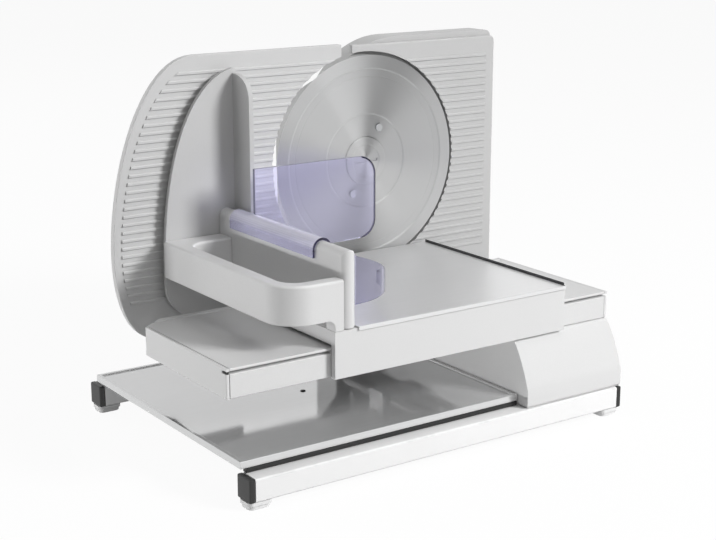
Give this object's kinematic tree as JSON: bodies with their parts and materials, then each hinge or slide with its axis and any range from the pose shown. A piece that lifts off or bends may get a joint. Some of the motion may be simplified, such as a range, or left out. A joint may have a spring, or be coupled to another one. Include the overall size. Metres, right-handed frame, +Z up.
{
  "type": "electric food slicer",
  "caption": "Electric food slicer with an upright round blade, a sliding food carriage with hand guard and clear pusher, a ribbed stop plate and a polished slice tray.",
  "frame": {"origin": "on the standing surface, under the middle of the machine's bounding box", "axes": "+X along the carriage travel towards the pedestal and dial, +Y away from the user towards the motor, +Z up"},
  "size_m": [0.3914, 0.2818, 0.3018],
  "materials": {
    "white_paint": "white painted square tube",
    "black_plastic": "black moulded plastic",
    "pale_rubber": "pale grey rubber",
    "silver_plastic": "satin silver-grey moulded plastic",
    "shield_plastic": "satin silver-grey moulded plastic, a little darker",
    "dark_plastic": "dark grey moulded plastic",
    "pale_plastic": "pale moulded plastic",
    "mirror_steel": "polished stainless sheet",
    "brushed_steel": "fine-turned stainless steel",
    "shaft_steel": "plain steel",
    "bearing_bronze": "sintered bronze",
    "gear_nylon": "natural nylon",
    "tinted_clear": "clear violet-tinted plastic"
  },
  "bodies": {
    "base": {"front_rail": "white_paint", "rear_rail": "white_paint", "rail_cap_front_left": "black_plastic", "rail_cap_front_right": "black_plastic", "rail_cap_rear_left": "black_plastic", "rail_cap_rear_right": "black_plastic", "foot_front_left": "pale_rubber", "foot_front_right": "pale_rubber", "foot_rear_left": "pale_rubber", "foot_rear_right": "pale_rubber", "cross_bar": "shaft_steel", "floor_plate": "dark_plastic", "tray_runner_front": "black_plastic", "tray_runner_rear": "black_plastic", "pedestal_shell": "silver_plastic", "guide_beam": "silver_plastic", "beam_cap_left": "silver_plastic", "beam_cap_right": "silver_plastic", "rod_guide_left": "gear_nylon", "rod_guide_right": "gear_nylon", "fixed_plate": "silver_plastic", "gear_case": "silver_plastic", "motor_cover": "silver_plastic", "cover_screw_1": "shaft_steel", "cover_screw_2": "shaft_steel", "cover_screw_3": "shaft_steel", "cover_screw_4": "shaft_steel", "blade_bush": "bearing_bronze", "idler_axle": "shaft_steel", "motor_plate": "brushed_steel", "motor_can": "shaft_steel", "switch_body": "black_plastic", "cord_gland": "black_plastic"},
    "tray": {"slice_tray": "mirror_steel"},
    "carriage": {"carriage_frame": "silver_plastic", "carriage_table": "mirror_steel", "food_fence": "silver_plastic", "hand_shield": "shield_plastic", "carriage_handle": "silver_plastic", "glide_shoe_front_left": "gear_nylon", "glide_shoe_front_right": "gear_nylon", "glide_shoe_rear": "gear_nylon"},
    "pusher": {"end_piece_pusher": "tinted_clear"},
    "stop_gauge": {"stop_plate": "silver_plastic", "stop_bracket": "brushed_steel", "stop_rod_left": "shaft_steel", "stop_rod_right": "shaft_steel"},
    "dial": {"thickness_dial": "dark_plastic", "thickness_cam": "gear_nylon"},
    "blade": {"slicing_blade": "brushed_steel", "blade_hub": "brushed_steel", "blade_gear": "gear_nylon", "blade_screw_1": "shaft_steel", "blade_screw_2": "shaft_steel"},
    "idler": {"idler_gear": "gear_nylon"},
    "rotor": {"motor_rotor": "shaft_steel", "motor_pinion": "shaft_steel"},
    "start_button": {"start_button": "pale_plastic"},
    "lock_button": {"lock_button": "dark_plastic"}
  },
  "joints": [
    {"name": "carriage_slide", "type": "slide", "parent": "base", "child": "carriage", "axis": [1, 0, 0], "range_m": [-0.085, 0.1]},
    {"name": "pusher_slide", "type": "slide", "parent": "carriage", "child": "pusher", "axis": [0, 1, 0], "range_m": [-0.035, 0.018]},
    {"name": "tray_slide", "type": "slide", "parent": "base", "child": "tray", "axis": [-1, 0, 0], "range_m": [0, 0.2]},
    {"name": "dial_turn", "type": "hinge", "parent": "base", "child": "dial", "pos_m": [0.16925, 0.0191, 0.05], "axis": [1, 0, 0], "range_deg": [-11.35, 288.85]},
    {"name": "stop_slide", "type": "slide", "parent": "base", "child": "stop_gauge", "axis": [0, 1, 0], "range_m": [-0.0006, 0.0154]},
    {"name": "blade_spin", "type": "hinge", "parent": "base", "child": "blade", "pos_m": [0.05255, 0.0648, 0.1962], "axis": [0, 1, 0], "continuous": true},
    {"name": "idler_spin", "type": "hinge", "parent": "base", "child": "idler", "pos_m": [0.09085, 0.0831, 0.16406], "axis": [0, 1, 0], "continuous": true},
    {"name": "rotor_spin", "type": "hinge", "parent": "base", "child": "rotor", "pos_m": [0.10056, 0.0911, 0.12784], "axis": [0, 1, 0], "continuous": true},
    {"name": "start_press", "type": "slide", "parent": "base", "child": "start_button", "axis": [-1, 0, 0], "range_m": [0, 0.004], "stiffness_N_per_m": 500},
    {"name": "lock_press", "type": "slide", "parent": "base", "child": "lock_button", "axis": [-1, 0, 0], "range_m": [0, 0.004], "stiffness_N_per_m": 500}
  ],
  "couplings": [
    {"joint": "dial_turn", "follows": "stop_slide", "rad_per_m": 327.25},
    {"joint": "idler_spin", "follows": "blade_spin", "ratio": -4},
    {"joint": "rotor_spin", "follows": "blade_spin", "ratio": 16}
  ]
}
